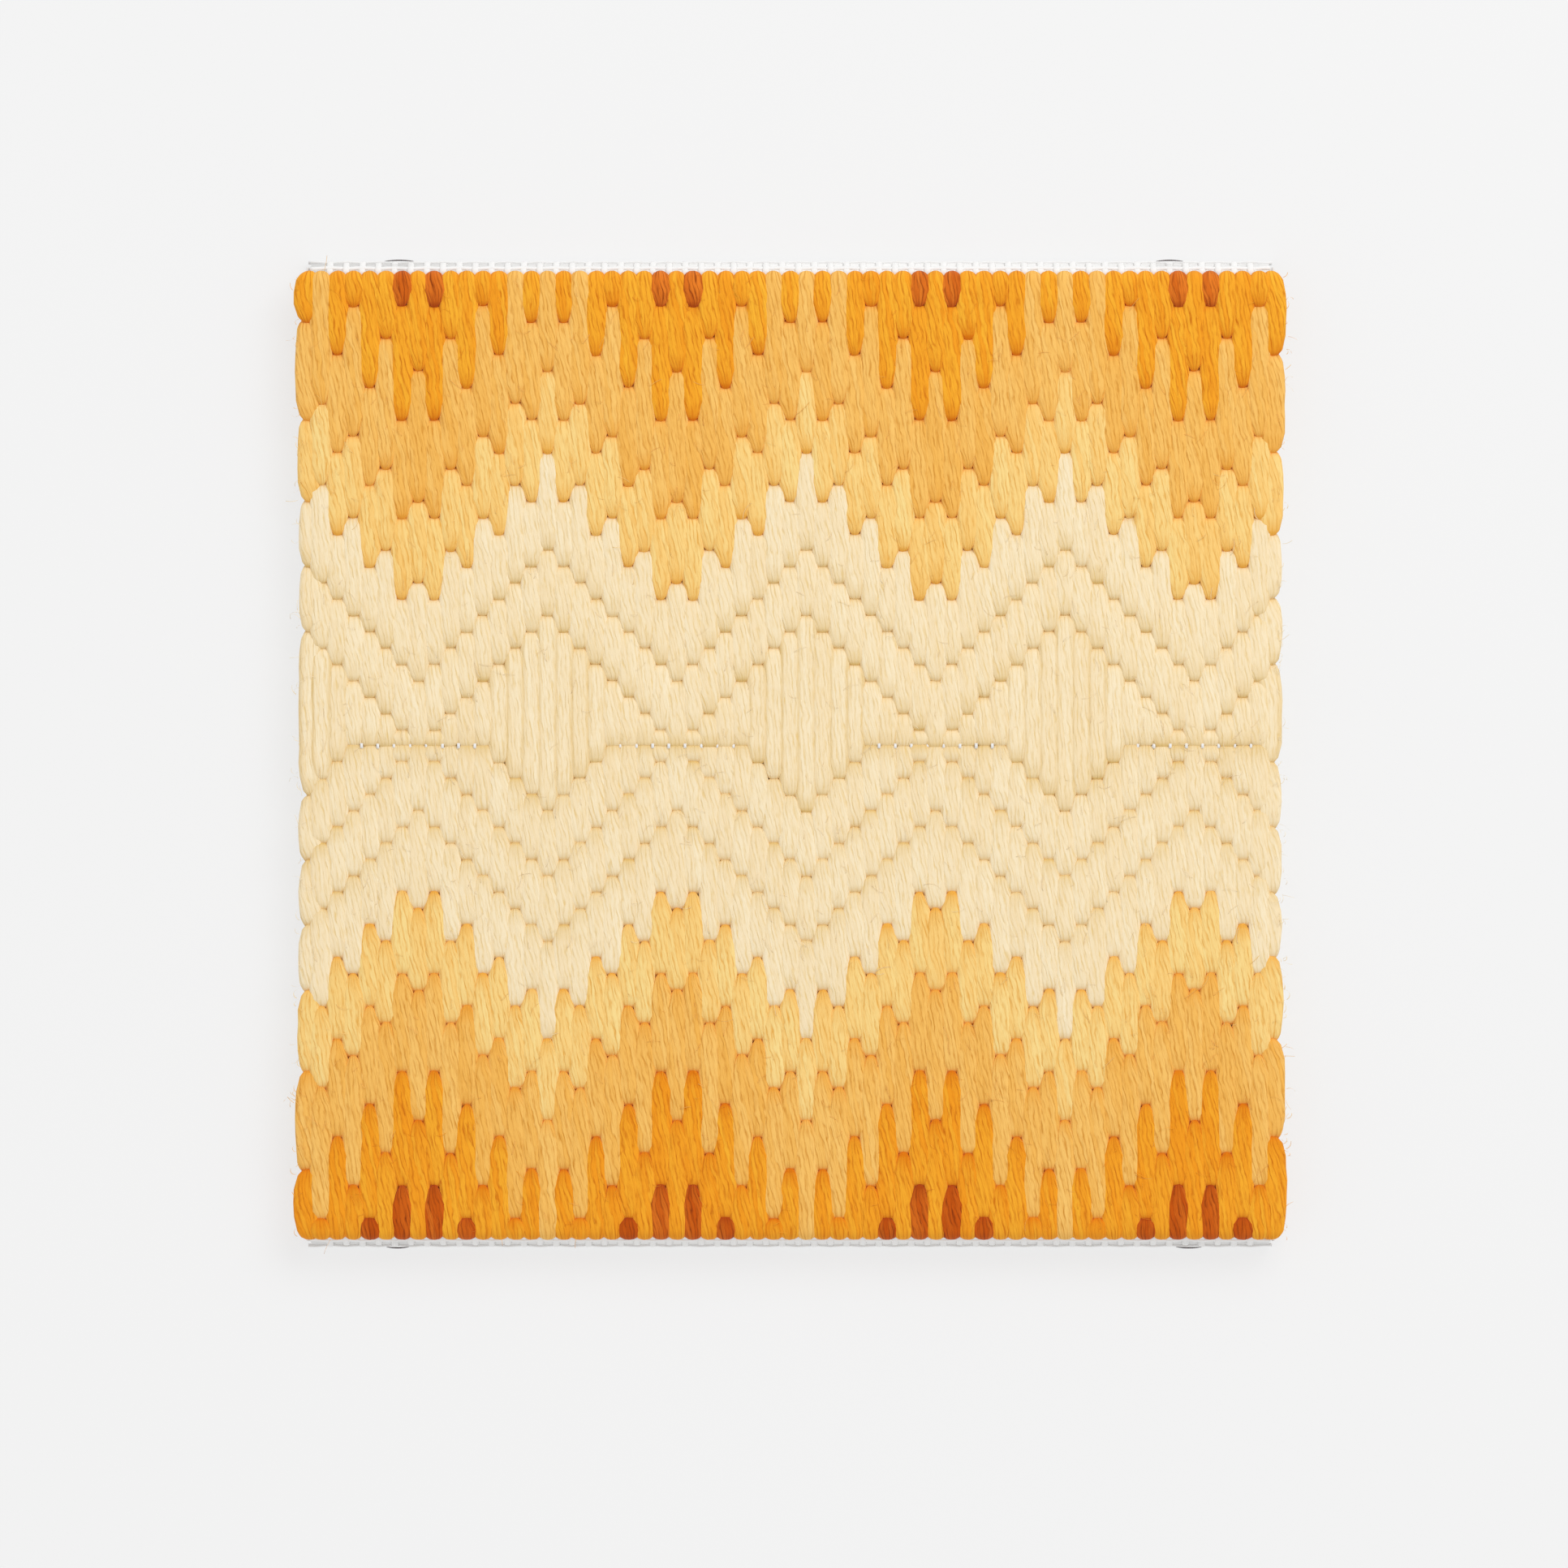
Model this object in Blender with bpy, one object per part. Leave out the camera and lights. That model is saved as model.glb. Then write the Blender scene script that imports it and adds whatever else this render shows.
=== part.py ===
"""A square needlepoint panel, worked in wool on white canvas in a traditional zigzag flame pattern.

The panel lies on its back, face up. X runs across it, Y runs up it as it is looked at, and Z is up from
the surface that it rests on. The origin is the middle of the panel's back. Lengths are in metres.

Blender 4.5: blender --background --python part.py
"""

import math

import bmesh
import bpy
from mathutils import Vector
from mathutils.geometry import delaunay_2d_cdt

# The worked field, counted in canvas threads: twelve to the inch, drawn in a little across
# the panel and let out a little along it. One column of stitches stands on each upright row of holes.
COLUMN_PITCH = 0.002106
THREAD_PITCH = 0.002127
COLUMNS = 61
THREADS_ABOVE = 29
THREADS_BELOW = 30

# The flame repeats every 16 columns and mirrors about its valleys, so a column is known by its
# distance from the nearest valley, from 0 to 8 columns.
REPEAT = 16
FIRST_VALLEY = 7

# The wools from the middle line outwards: name, threads that it covers in a column at an even
# distance from the valley, and at an odd one. The cream's count starts one thread higher up
# for each column of distance, which is what makes the zigzag.
WOOLS = (
    ("cream", 10, 8),
    ("yellow", 5, 5),
    ("gold", 8, 6),
    ("orange", 7, 7),
    ("rust", 7, 7),
)
CHEVRON_THREADS = 4

# name: colour as red, green and blue in linear light
WOOL_COLOURS = {
    "cream": (0.90, 0.74, 0.47),
    "yellow": (0.93, 0.61, 0.20),
    "gold": (0.83, 0.46, 0.12),
    "orange": (0.90, 0.36, 0.025),
    "rust": (0.48, 0.09, 0.012),
}
CANVAS_COLOUR = (0.86, 0.86, 0.86)
TACK_COLOUR = (0.03, 0.025, 0.03)

# The canvas and its hem. The face is held off the hem by the wool on its reverse, so the
# canvas slopes down from a shoulder at the edge of the stitching to a crease by the surface.
CANVAS_THICK = 0.0010
FACE_HEIGHT = 0.0044
SHOULDER_RADIUS = 0.0007
CREASE_RADIUS = 0.00065
SHOULDER_STEPS = 3
CREASE_STEPS = 5
HEM_WIDTH = 0.0149
CORNER_RADIUS = 0.0011
SIDE_STEPS = 6
UNEVEN = 0.00015
MITRE_GAP = 0.0005
MITRE_STOP = 0.0022

# Half sizes of the folded canvas at its crease, and how steeply the canvas falls from its
# shoulder: across the panel the last column of wool stands over the crease and hides it.
HALF_WIDTH = 0.0636
HALF_LENGTH = 0.0646
SIDE_SLOPE = math.radians(82)
END_SLOPE = math.radians(66)

# The wool stands on the canvas as ribs, one for each column.
CLEARANCE = 0.0003
RIB_HEIGHT = 0.0013
VALLEY_HEIGHT = 0.0006
CROWN_WIDTH = 0.56 * COLUMN_PITCH
RIB_END = 0.0008
EDGE_BULGE = 0.0004
REVERSE_THICK = 0.0018
REVERSE_INSET_COLUMNS = 1
REVERSE_INSET_THREADS = 1

# Four tacking stitches of dark thread hold the hem: name, middle across the panel, length,
# and which end of the panel they are on.
TACKS = (
    ("tack_top_left", -0.0510, 0.0034, 1),
    ("tack_top_right", 0.0495, 0.0027, 1),
    ("tack_bottom_left", -0.0512, 0.0030, -1),
    ("tack_bottom_right", 0.0520, 0.0021, -1),
)
TACK_THICK = 0.0004
TACK_DOWN_WALL = 0.45


def clear_scene():
    for old in list(bpy.data.objects):
        bpy.data.objects.remove(old)


def cloth_material(name, colour, roughness=0.9):
    material = bpy.data.materials.new(name)
    material.use_nodes = True
    shader = material.node_tree.nodes["Principled BSDF"]
    shader.inputs["Base Color"].default_value = (*colour, 1.0)
    shader.inputs["Roughness"].default_value = roughness
    shader.inputs["Metallic"].default_value = 0.0
    return material


def add_object(name, mesh_edit, material):
    """Turns a bmesh into a named object, with every face looking outwards."""
    bmesh.ops.recalc_face_normals(mesh_edit, faces=mesh_edit.faces)
    mesh = bpy.data.meshes.new(name)
    mesh_edit.to_mesh(mesh)
    mesh_edit.free()
    mesh.materials.append(material)
    made = bpy.data.objects.new(name, mesh)
    bpy.context.scene.collection.objects.link(made)
    return made


def valley_distance(column):
    half = REPEAT // 2
    return abs((column - FIRST_VALLEY + half) % REPEAT - half)


def column_x(column):
    """Middle of a column of stitches."""
    return (column - (COLUMNS - 1) / 2) * COLUMN_PITCH


def thread_y(threads):
    """Height on the panel of a line of holes, counted in threads from the middle line."""
    return (threads + (THREADS_BELOW - THREADS_ABOVE) / 2) * THREAD_PITCH


def wool_reach(wool, column):
    """Threads from the middle line at which a wool begins and ends in a column, going outwards."""
    distance = valley_distance(column)
    begin, end = 0, distance
    for name, even_threads, odd_threads in WOOLS:
        end += odd_threads if distance % 2 else even_threads
        if name == wool:
            return begin, end
        begin = end
    raise ValueError(wool)


def stitch_ends(column):
    """Threads from the middle line of every hole in a column that a stitch goes down."""
    distance = valley_distance(column)
    ends = {-distance, -max(distance - CHEVRON_THREADS, 0), distance}
    outwards = [distance + CHEVRON_THREADS]
    outwards += [wool_reach(wool, column)[1] for wool, *_ in WOOLS]
    for threads in outwards:
        ends |= {threads, -threads}
    ends = {min(max(e, -THREADS_BELOW), THREADS_ABOVE) for e in ends}
    return sorted(ends)


def wool_runs(wool, side):
    """Lowest and highest thread of a wool in each column: side 1 is above the middle line,
    -1 below it and 0 both, for the cream that crosses it."""
    runs = {}
    for column in range(COLUMNS):
        begin, end = wool_reach(wool, column)
        low, high = {1: (begin, end), -1: (-end, -begin), 0: (-end, end)}[side]
        low, high = max(low, -THREADS_BELOW), min(high, THREADS_ABOVE)
        if low < high:
            runs[column] = (low, high)
    return runs


def joined_groups(runs):
    """Splits the columns of a wool where neighbouring runs don't meet side by side."""
    groups, group = [], {}
    for column in sorted(runs):
        before = group.get(column - 1)
        low, high = runs[column]
        meets = before and max(low, before[0]) < min(high, before[1])
        if group and not meets:
            groups.append(group)
            group = {}
        group[column] = (low, high)
    return [*groups, group]


def step_points(x, here, there, gap, is_top):
    """The outline's corner points between two neighbouring columns that end at these heights.
    The second point of a pair is always the inner corner's partner on the far column."""
    if abs(here - there) < 1e-9:
        return [(x, here)]
    here_is_longer = here > there if is_top else here < there
    wall = x - gap if here_is_longer else x + gap
    return [(wall, here), (wall, there)]


def edge_column_points(column, run, outer_x, outward, gap):
    """The outer side of a first or last column, from bottom to top, where each stitch bulges."""
    low, high = run
    ends = [e for e in stitch_ends(column) if low <= e <= high]
    points = [(outer_x, thread_y(low) + gap)]
    for lower, upper in zip(ends, ends[1:]):
        middle = thread_y((lower + upper) / 2)
        points.append((outer_x + outward * EDGE_BULGE, middle))
        if upper < high:
            points.append((outer_x, thread_y(upper)))
    points.append((outer_x, thread_y(high) - gap))
    return points


def rib_plan(runs):
    """Outline of a patch of wool, and the lines along its valleys and its crowns, in plan."""
    gap = CLEARANCE / 2
    columns = sorted(runs)
    first, last = columns[0], columns[-1]
    low = {c: thread_y(runs[c][0]) + gap for c in columns}
    high = {c: thread_y(runs[c][1]) - gap for c in columns}
    left_x = column_x(first) - COLUMN_PITCH / 2 + gap
    right_x = column_x(last) + COLUMN_PITCH / 2 - gap
    bottom, top, valleys = [], [], []
    for column in columns[:-1]:
        x = column_x(column) + COLUMN_PITCH / 2
        below = step_points(x, low[column], low[column + 1], gap, False)
        above = step_points(x, high[column], high[column + 1], gap, True)
        bottom += below
        top += above
        valleys.append((max(below, key=lambda p: p[1]), min(above, key=lambda p: p[1])))
    left_side = [(left_x, low[first]), (left_x, high[first])]
    right_side = [(right_x, low[last]), (right_x, high[last])]
    if first == 0:
        left_side = edge_column_points(first, runs[first], left_x, -1, gap)
    if last == COLUMNS - 1:
        right_side = edge_column_points(last, runs[last], right_x, 1, gap)
    outline = bottom + right_side + top[::-1] + left_side[::-1]
    crowns = []
    for column in columns:
        x, half = column_x(column), CROWN_WIDTH / 2
        end = min(RIB_END, 0.3 * (high[column] - low[column]))
        lower, upper = low[column] + end, high[column] - end
        crowns.append([(x - half, lower), (x + half, lower), (x + half, upper), (x - half, upper)])
    return outline, valleys, crowns


def wool_patch(name, runs, base, outward, thick, material):
    """A closed patch of ribbed wool. Its flat side is at height base, and its ribs rise
    outwards from there: up from the face, and down from the reverse."""
    outline, valleys, crowns = rib_plan(runs)
    points = list(outline)
    edges = [(i, (i + 1) % len(outline)) for i in range(len(outline))]
    for valley in valleys:
        edges.append(tuple(outline.index(end) for end in valley))
    for crown in crowns:
        start = len(points)
        points += crown
        edges += [(start + i, start + (i + 1) % len(crown)) for i in range(len(crown))]
    plan = [Vector(p) for p in points]
    made, _, triangles, sources, _, _ = delaunay_2d_cdt(plan, edges, [list(range(len(outline)))], 1, 1e-7)

    edit = bmesh.new()
    rib_vertices, place = [], {}
    for index, (point, source) in enumerate(zip(made, sources)):
        on_outline = source[0] < len(outline)
        rise = thick * (VALLEY_HEIGHT / RIB_HEIGHT if on_outline else 1.0)
        rib_vertices.append(edit.verts.new((point.x, point.y, base + outward * rise)))
        place[source[0]] = index
    for triangle in triangles:
        edit.faces.new([rib_vertices[i] for i in triangle])
    flat = [edit.verts.new((x, y, base)) for x, y in outline]
    edit.faces.new(flat)
    for i in range(len(outline)):
        j = (i + 1) % len(outline)
        edit.faces.new([flat[i], flat[j], rib_vertices[place[j]], rib_vertices[place[i]]])
    return add_object(name, edit, material)


def worked_face(materials):
    """The stitched face, as one patch for each stretch of one wool."""
    base = FACE_HEIGHT + CLEARANCE
    for wool, *_ in WOOLS:
        sides = ((0, ""),) if wool == "cream" else ((1, "_top"), (-1, "_bottom"))
        for side, ending in sides:
            groups = joined_groups(wool_runs(wool, side))
            for number, runs in enumerate(groups, 1):
                name = f"wool_{wool}{ending}"
                if len(groups) > 1:
                    name += f"_{number:02d}"
                wool_patch(name, runs, base, 1, RIB_HEIGHT, materials[wool])


def worked_reverse(material):
    """The wool that the stitches carry across the back, inside the folds of the canvas."""
    low = -THREADS_BELOW + REVERSE_INSET_THREADS
    high = THREADS_ABOVE - REVERSE_INSET_THREADS
    columns = range(REVERSE_INSET_COLUMNS, COLUMNS - REVERSE_INSET_COLUMNS)
    base = FACE_HEIGHT - CANVAS_THICK - CLEARANCE
    wool_patch("wool_reverse", {c: (low, high) for c in columns}, base, -1, REVERSE_THICK, material)


def fold_line(slope):
    """The middle of the canvas's thickness over one edge, as (outward, height, turn): from
    the flat face over the shoulder, down the wall, round the crease and back as the hem.
    Turn is the angle that the canvas has come round by."""
    face = FACE_HEIGHT - CANVAS_THICK / 2
    hem = CANVAS_THICK / 2
    by_arcs = SHOULDER_RADIUS * (1 - math.cos(slope)) + CREASE_RADIUS * (1 + math.cos(slope))
    wall = (face - hem - by_arcs) / math.sin(slope)
    line = []
    for step in range(SHOULDER_STEPS + 1):
        turn = slope * step / SHOULDER_STEPS
        line.append((SHOULDER_RADIUS * math.sin(turn), face - SHOULDER_RADIUS * (1 - math.cos(turn)), turn))
    out, height, _ = line[-1]
    out += wall * math.cos(slope)
    height -= wall * math.sin(slope)
    for step in range(CREASE_STEPS + 1):
        turn = slope + (math.pi - slope) * step / CREASE_STEPS
        across = out + CREASE_RADIUS * (math.sin(turn) - math.sin(slope))
        line.append((across, height - CREASE_RADIUS * (math.cos(slope) - math.cos(turn)), turn))
    line.append((line[-1][0] - HEM_WIDTH, hem, math.pi))
    return line


def fold_surface(slope, side):
    """One surface of the folded canvas, outer for side 1 and inner for -1, as (outward, height).
    Outward is from the crease's outermost point, so it is never above zero."""
    half = CANVAS_THICK / 2
    line = fold_line(slope)
    widest = max(out + half * math.sin(turn) for out, _, turn in line)
    offset = side * half
    return [(out + offset * math.sin(turn) - widest, height + offset * math.cos(turn)) for out, height, turn in line]


def uneven(along, phase):
    """A small swell of the folded edge, for a place from -1 to 1 along a side."""
    return -UNEVEN * (1 + 0.6 * math.sin(4.1 * along + phase) + 0.4 * math.sin(9.3 * along + 2 * phase)) / 2


def canvas_ring(edit, across, along):
    """A ring of points round the panel, from one point of the side fold's surface and the
    matching one of the end fold's. Each corner is a short arc between the two."""
    half_x, half_y = HALF_WIDTH + across[0], HALF_LENGTH + along[0]
    ring = []
    for quarter in range(4):
        on_end = quarter % 2 == 1
        ahead, beside = (half_y, half_x) if on_end else (half_x, half_y)
        height = along[1] if on_end else across[1]
        next_height = across[1] if on_end else along[1]
        for step in range(SIDE_STEPS + 1):
            place = 2 * step / SIDE_STEPS - 1
            out = ahead + uneven(place, 1.7 * quarter) * (1 - place * place)
            ring.append((quarter, out, place * (beside - CORNER_RADIUS), height))
        middle = CORNER_RADIUS * (1 - math.sqrt(0.5))
        ring.append((quarter, ahead - middle, beside - middle, (height + next_height) / 2))
    turned = []
    for quarter, out, sideways, height in ring:
        cosine, sine = ((1, 0), (0, 1), (-1, 0), (0, -1))[quarter]
        turned.append(edit.verts.new((out * cosine - sideways * sine, out * sine + sideways * cosine, height)))
    return turned


def folded_canvas(material):
    """The ground cloth: its flat face, its four sloping edges and the hem turned under them."""
    edit = bmesh.new()
    rings = []
    for side in (1, -1):
        pairs = list(zip(fold_surface(SIDE_SLOPE, side), fold_surface(END_SLOPE, side)))
        rings += [canvas_ring(edit, across, along) for across, along in (pairs if side == 1 else pairs[::-1])]
    for ring, following in zip(rings, rings[1:]):
        for i in range(len(ring)):
            j = (i + 1) % len(ring)
            edit.faces.new([ring[i], ring[j], following[j], following[i]])
    edit.faces.new(rings[0])
    edit.faces.new(rings[-1])
    canvas = add_object("canvas", edit, material)
    for number in range(4):
        cut_mitre(canvas, number)
    return canvas


def cut_mitre(canvas, number):
    """Parts the hem along the diagonal of a corner, where its two flaps meet."""
    inner_x, inner_y = HALF_WIDTH - HEM_WIDTH, HALF_LENGTH - HEM_WIDTH
    outer_x, outer_y = HALF_WIDTH - MITRE_STOP, HALF_LENGTH - MITRE_STOP
    overrun = 1.25
    start = Vector((outer_x - overrun * (outer_x - inner_x), outer_y - overrun * (outer_y - inner_y), 0))
    end = Vector((outer_x, outer_y, 0))
    bpy.ops.mesh.primitive_cube_add(size=1)
    cutter = bpy.context.object
    cutter.name = f"mitre_cutter_{number}"
    flip_x, flip_y = ((1, 1), (-1, 1), (-1, -1), (1, -1))[number]
    middle, run = (start + end) / 2, end - start
    cutter.location = (middle.x * flip_x, middle.y * flip_y, 0)
    cutter.rotation_euler.z = math.atan2(run.y * flip_y, run.x * flip_x)
    cutter.scale = (run.length, MITRE_GAP, 2 * (CANVAS_THICK + CLEARANCE / 2))
    cutter.hide_render = True
    cutter.display_type = "WIRE"
    cut = canvas.modifiers.new(f"mitre_{number}", "BOOLEAN")
    cut.operation = "DIFFERENCE"
    cut.solver = "EXACT"
    cut.object = cutter


def tacking_stitch(name, middle, length, end, material):
    """A short stitch of thread lying along the canvas's sloping wall, its ends turned down."""
    outer = fold_surface(END_SLOPE, 1)
    wall_top, wall_foot = outer[SHOULDER_STEPS], outer[SHOULDER_STEPS + 1]
    out = wall_top[0] + TACK_DOWN_WALL * (wall_foot[0] - wall_top[0])
    height = wall_top[1] + TACK_DOWN_WALL * (wall_foot[1] - wall_top[1])
    lift = CLEARANCE + TACK_THICK / 2
    out += lift * math.sin(END_SLOPE)
    height += lift * math.cos(END_SLOPE)
    curve = bpy.data.curves.new(name, "CURVE")
    curve.dimensions = "3D"
    curve.bevel_depth = TACK_THICK / 2
    curve.bevel_resolution = 2
    curve.use_fill_caps = True
    line = curve.splines.new("POLY")
    line.points.add(3)
    dip = 0.5 * TACK_THICK
    for point, (place, drop) in zip(line.points, ((-0.5, dip), (-0.3, 0), (0.3, 0), (0.5, dip))):
        point.co = (middle + place * length, end * (HALF_LENGTH + out), height - drop, 1)
    curve.materials.append(material)
    made = bpy.data.objects.new(name, curve)
    bpy.context.scene.collection.objects.link(made)
    return made


def main():
    clear_scene()
    wools = {name: cloth_material(f"{name}_wool", colour) for name, colour in WOOL_COLOURS.items()}
    folded_canvas(cloth_material("white_canvas", CANVAS_COLOUR, roughness=0.8))
    worked_reverse(wools["cream"])
    worked_face(wools)
    thread = cloth_material("dark_thread", TACK_COLOUR, roughness=0.7)
    for name, middle, length, end in TACKS:
        tacking_stitch(name, middle, length, end, thread)


main()
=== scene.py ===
"""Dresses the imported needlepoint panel: its wool stitches, woven canvas, tacking and studio stage."""

import math

import bpy
import numpy as np
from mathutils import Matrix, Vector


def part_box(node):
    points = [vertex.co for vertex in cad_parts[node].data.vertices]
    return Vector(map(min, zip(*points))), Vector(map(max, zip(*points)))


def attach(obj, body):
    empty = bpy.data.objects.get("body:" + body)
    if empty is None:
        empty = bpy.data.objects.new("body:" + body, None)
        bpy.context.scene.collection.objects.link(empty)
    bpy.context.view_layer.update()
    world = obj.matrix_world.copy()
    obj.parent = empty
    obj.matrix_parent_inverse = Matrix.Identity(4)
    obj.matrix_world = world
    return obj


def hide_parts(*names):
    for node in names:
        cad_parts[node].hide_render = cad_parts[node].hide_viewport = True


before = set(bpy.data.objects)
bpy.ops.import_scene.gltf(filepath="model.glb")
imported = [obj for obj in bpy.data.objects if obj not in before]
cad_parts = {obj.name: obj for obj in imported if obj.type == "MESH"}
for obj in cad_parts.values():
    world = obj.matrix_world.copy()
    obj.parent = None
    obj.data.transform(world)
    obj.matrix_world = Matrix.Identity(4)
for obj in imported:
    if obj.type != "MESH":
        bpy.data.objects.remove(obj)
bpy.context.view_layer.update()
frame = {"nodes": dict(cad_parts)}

bl_info = {
    "name": "Flame Stitch Panel",
    "version": (1, 0, 0),
    "blender": (4, 5, 0),
    "location": "3D View > Sidebar > Needlepoint",
    "description": "Builds the stitches, canvas and stage of a needlepoint panel over its solids",
    "category": "Add Mesh",
}

MM = 0.001

# The chart, counted in columns and canvas threads.
COLUMNS = 61
THREADS_ABOVE = 29
THREADS_BELOW = 30
REPEAT = 16
FIRST_VALLEY = 7
CHEVRON_THREADS = 4

# The wools outwards from the middle line: name, threads covered in a column at an even
# distance from the flame's valley, and at an odd one.
WOOLS = (
    ("cream", 10, 8),
    ("yellow", 5, 5),
    ("gold", 8, 6),
    ("orange", 7, 7),
    ("rust", 7, 7),
)

# The folded canvas, as the solids have it.
CANVAS_THICK = 1.0 * MM
FACE_HEIGHT = 4.4 * MM
SHOULDER_RADIUS = 0.7 * MM
CREASE_RADIUS = 0.65 * MM
HEM_WIDTH = 14.9 * MM
HALF_WIDTH = 63.6 * MM
HALF_LENGTH = 64.6 * MM
SIDE_SLOPE = math.radians(82)
END_SLOPE = math.radians(66)

# name: middle across the panel, length, and which end of the panel
TACKS = {
    "tack_top_left": (-51.0 * MM, 3.9 * MM, 1),
    "tack_top_right": (49.5 * MM, 3.6 * MM, 1),
    "tack_bottom_left": (-51.2 * MM, 3.0 * MM, -1),
    "tack_bottom_right": (52.0 * MM, 3.4 * MM, -1),
}


def hex_colour(code):
    """A colour given as sRGB hex, in the linear light that shaders work in."""
    parts = [int(code[start:start + 2], 16) / 255 for start in (1, 3, 5)]
    linear = [part / 12.92 if part <= 0.04045 else ((part + 0.055) / 1.055) ** 2.4 for part in parts]
    return (*linear, 1.0)


# name: the wool's lit strands, its body, the painted shade in the lines between strands, and the painted
# shade where it turns down into a hole
WOOL_SHADES = {
    "cream": ("#FFEECB", "#FCE5BB", "#EFCE8C", "#E6C27A"),
    "yellow": ("#FFE094", "#FFCE77", "#E9A844", "#F4B24A"),
    "gold": ("#FFCC72", "#FABB57", "#D68E2E", "#F2A63C"),
    "orange": ("#FFBA34", "#FAA020", "#CE6C08", "#E27C08"),
    "rust": ("#EE8226", "#CC5808", "#7E2C02", "#AC4404"),
}


# Sizes and colours that a user may change


class StitchSettings(bpy.types.PropertyGroup):
    column_pitch: bpy.props.FloatProperty(
        name="Column pitch", description="Distance between columns of stitches",
        default=2.106 * MM, unit="LENGTH", precision=5)
    thread_pitch: bpy.props.FloatProperty(
        name="Thread pitch", description="Distance between canvas threads along a stitch",
        default=2.127 * MM, unit="LENGTH", precision=5)
    yarn_width: bpy.props.FloatProperty(
        name="Yarn width", description="Width of a stitch, a little more than a column so that wool covers",
        default=3.00 * MM, unit="LENGTH", precision=5)
    yarn_height: bpy.props.FloatProperty(
        name="Yarn height", description="Thickness of a stitch from the canvas up",
        default=1.5 * MM, unit="LENGTH", precision=5)
    strands: bpy.props.IntProperty(
        name="Strands", description="Bundles of fibre that show round one yarn", default=13, min=4, max=20)
    lean: bpy.props.FloatProperty(
        name="Lean", description="How far the twisted strands lean from the stitch",
        default=math.radians(11), subtype="ANGLE")
    station: bpy.props.FloatProperty(
        name="Station", description="Distance between the rings of a stitch's mesh",
        default=1.75 * MM, unit="LENGTH", precision=5)


class CanvasSettings(bpy.types.PropertyGroup):
    thread_width: bpy.props.FloatProperty(
        name="Thread width", description="Width of one canvas thread",
        default=1.0 * MM, unit="LENGTH", precision=5)
    thread_height: bpy.props.FloatProperty(
        name="Thread height", description="Thickness of one canvas thread",
        default=0.42 * MM, unit="LENGTH", precision=5)
    canvas_colour: bpy.props.FloatVectorProperty(
        name="Canvas", description="Colour of the cotton canvas", subtype="COLOR", size=4,
        default=hex_colour("#EEEDEB"), min=0, max=1)
    tack_colour: bpy.props.FloatVectorProperty(
        name="Tacking thread", description="Colour of the tacking thread", subtype="COLOR", size=4,
        default=hex_colour("#3A3234"), min=0, max=1)


class StageSettings(bpy.types.PropertyGroup):
    lens: bpy.props.FloatProperty(
        name="Lens", description="Focal length in millimetres", default=300, subtype="NONE")
    frame_width: bpy.props.FloatProperty(
        name="Frame width", description="Width of what the camera sees at the stitches",
        default=204.2 * MM, unit="LENGTH")
    key_power: bpy.props.FloatProperty(
        name="Key light", description="Power of the large soft light", default=4.8, unit="POWER")
    fill: bpy.props.FloatProperty(
        name="Fill", description="Strength of the even light from all round", default=0.75)
    floor_colour: bpy.props.FloatVectorProperty(
        name="Surface", description="Colour of the pale surface", subtype="COLOR", size=4,
        default=hex_colour("#929292"), min=0, max=1)
    glow: bpy.props.FloatProperty(
        name="Glow", description="Light that the surface gives back from below, as a light table does",
        default=0.62)


# The chart of stitches


def valley_distance(column):
    """How many columns away the nearest valley of the flames is."""
    half = REPEAT // 2
    return abs((column - FIRST_VALLEY + half) % REPEAT - half)


def column_x(column):
    """The middle of a column across the panel."""
    return (column - (COLUMNS - 1) / 2) * bpy.context.scene.stitch_settings.column_pitch


def thread_y(threads):
    """Height on the panel of a line of holes, counted in threads from the middle line."""
    return (threads + (THREADS_BELOW - THREADS_ABOVE) / 2) * bpy.context.scene.stitch_settings.thread_pitch


def charted_stitches(column):
    """The stitches of a column as (wool, inner hole, outer hole), in threads from the middle
    line. The inner end is the one towards the middle line, where the stitch's round tip shows."""
    distance = valley_distance(column)
    if distance <= CHEVRON_THREADS:
        stitches = [("cream", 0, distance), ("cream", 0, -distance)]
    else:
        stitches = [("cream", CHEVRON_THREADS - distance, distance),
                    ("cream", CHEVRON_THREADS - distance, -distance)]
    for side in (1, -1):
        limit = THREADS_ABOVE if side == 1 else THREADS_BELOW
        begin, reach = distance, distance
        for wool, even_threads, odd_threads in WOOLS:
            reach += odd_threads if distance % 2 else even_threads
            if wool == "cream":
                chevron = begin + CHEVRON_THREADS
                stitches.append((wool, side * begin, side * chevron))
                begin = chevron
            if begin < limit:
                stitches.append((wool, side * begin, side * min(reach, limit)))
            begin = reach
    return [(wool, inner, outer) for wool, inner, outer in stitches if inner != outer]


# Meshes swept from arrays


# How square a yarn's outline is: 2 is an ellipse. It is round where it enters a hole.
PLUMP, ROUND = 3.9, 2.0
# Steps that an outline is worked out in, and its width over its height.
SECTION_STEPS = 720
SECTION_ASPECT = 2.0


def yarn_section(power):
    """A yarn's outline as even steps round it from the right-hand side over the top, in
    unit (across, up) pairs, and the length round it in half heights."""
    angle = np.linspace(0, 2 * np.pi, SECTION_STEPS + 1)
    cosine, sine = np.cos(angle), np.sin(angle)
    reach = (np.abs(cosine) ** power + np.abs(sine) ** power) ** (-1 / power)
    across, up = cosine * reach, sine * reach
    steps = np.hypot(np.diff(across * SECTION_ASPECT), np.diff(up))
    travelled = np.concatenate([[0], np.cumsum(steps)])
    even = np.linspace(0, travelled[-1], SECTION_STEPS + 1)
    return np.interp(even, travelled, across), np.interp(even, travelled, up), travelled[-1]


SECTIONS = {power: yarn_section(power) for power in (PLUMP, ROUND)}


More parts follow.
